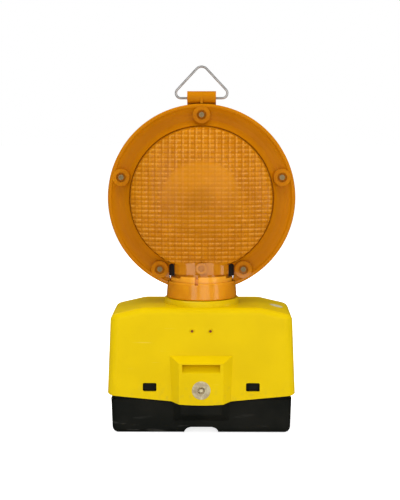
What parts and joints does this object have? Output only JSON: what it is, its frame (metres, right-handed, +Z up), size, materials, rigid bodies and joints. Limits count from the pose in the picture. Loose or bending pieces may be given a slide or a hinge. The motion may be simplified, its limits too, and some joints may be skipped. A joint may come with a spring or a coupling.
{
  "type": "barricade warning light",
  "caption": "Amber barricade warning lamp: two-sided prismatic lens head with wire hanger on a yellow lift-off hood over a black battery tub.",
  "frame": {"origin": "on the ground plane under the neck axis, at the middle of the battery tub's underside", "axes": "+Z up, -Y towards the side with the lock, +X to the right seen from that side"},
  "size_m": [0.186, 0.1083, 0.3591],
  "materials": {
    "black_plastic": "satin moulded",
    "yellow_plastic": "semi-gloss moulded",
    "amber_lens": "clear amber, prismatic inside",
    "amber_collar": "translucent amber",
    "battery_case": "printed sleeve",
    "battery_cap": "moulded",
    "spring_steel": "plated",
    "steel": "zinc plated",
    "screw_steel": "zinc plated",
    "grey_plastic": "moulded",
    "brass": "bright",
    "circuit_board": "solder mask",
    "chip_black": "moulded",
    "capacitor_can": "satin",
    "coil_copper": "enamelled wire",
    "pilot_red": "translucent",
    "sensor_clear": "frosted",
    "lead_red": "PVC",
    "lead_grey": "PVC",
    "black_rubber": "matt",
    "lock_zinc": "plated zinc",
    "knob_white": "moulded",
    "led_white": "clear dome",
    "holder_dark": "moulded",
    "wire_steel": "bright zinc plated"
  },
  "bodies": {
    "tub": {"battery_tub": "black_plastic", "strike_plate": "steel", "strike_rivets": "steel", "battery_left": "battery_case", "battery_right": "battery_case", "battery_caps": "battery_cap", "battery_springs": "spring_steel"},
    "hood": {"hood": "yellow_plastic", "contact_carrier": "grey_plastic", "contact_plates": "brass", "carrier_screws": "screw_steel", "driver_board": "circuit_board", "driver_chips": "chip_black", "driver_capacitors": "capacitor_can", "driver_coil": "coil_copper", "board_screws": "screw_steel", "pilot_lights": "pilot_red", "sensor_window": "sensor_clear", "dusk_sensor": "chip_black", "socket_lead": "lead_red", "sensor_lead": "lead_grey", "swivel_seal": "black_rubber", "retaining_ring": "steel", "head_socket": "black_plastic", "lock_housing": "lock_zinc", "lock_nut": "lock_zinc", "mode_switch_body": "black_plastic"},
    "lock": {"lock_core": "lock_zinc", "lock_tongue": "steel", "tongue_screw": "screw_steel"},
    "switch_knob": {"mode_switch_knob": "knob_white"},
    "head": {"front_lens": "amber_lens", "rear_lens": "amber_lens", "lens_seal": "black_rubber", "lens_screws": "screw_steel", "bayonet_collar": "amber_collar", "led_board": "circuit_board", "board_cradle": "grey_plastic", "leds": "led_white", "led_holders": "holder_dark", "led_resistors": "chip_black", "head_plug": "black_plastic"},
    "hanger": {"hanger": "wire_steel"}
  },
  "joints": [
    {"name": "hood_lift", "type": "slide", "parent": "tub", "child": "hood", "axis": [0, 0, 1], "range_m": [0, 0.1]},
    {"name": "head_swivel", "type": "hinge", "parent": "hood", "child": "head", "pos_m": [0, 0, 0.13], "axis": [0, 0, 1], "range_deg": [-90, 90]},
    {"name": "hanger_swing", "type": "hinge", "parent": "head", "child": "hanger", "pos_m": [0, 0, 0.3271], "axis": [1, 0, 0], "range_deg": [-100, 100]},
    {"name": "lock_turn", "type": "hinge", "parent": "hood", "child": "lock", "pos_m": [0, -0.045, 0.045], "axis": [0, -1, 0], "range_deg": [0, 90]},
    {"name": "mode_switch", "type": "slide", "parent": "hood", "child": "switch_knob", "axis": [1, 0, 0], "range_m": [0, 0.0042]}
  ]
}
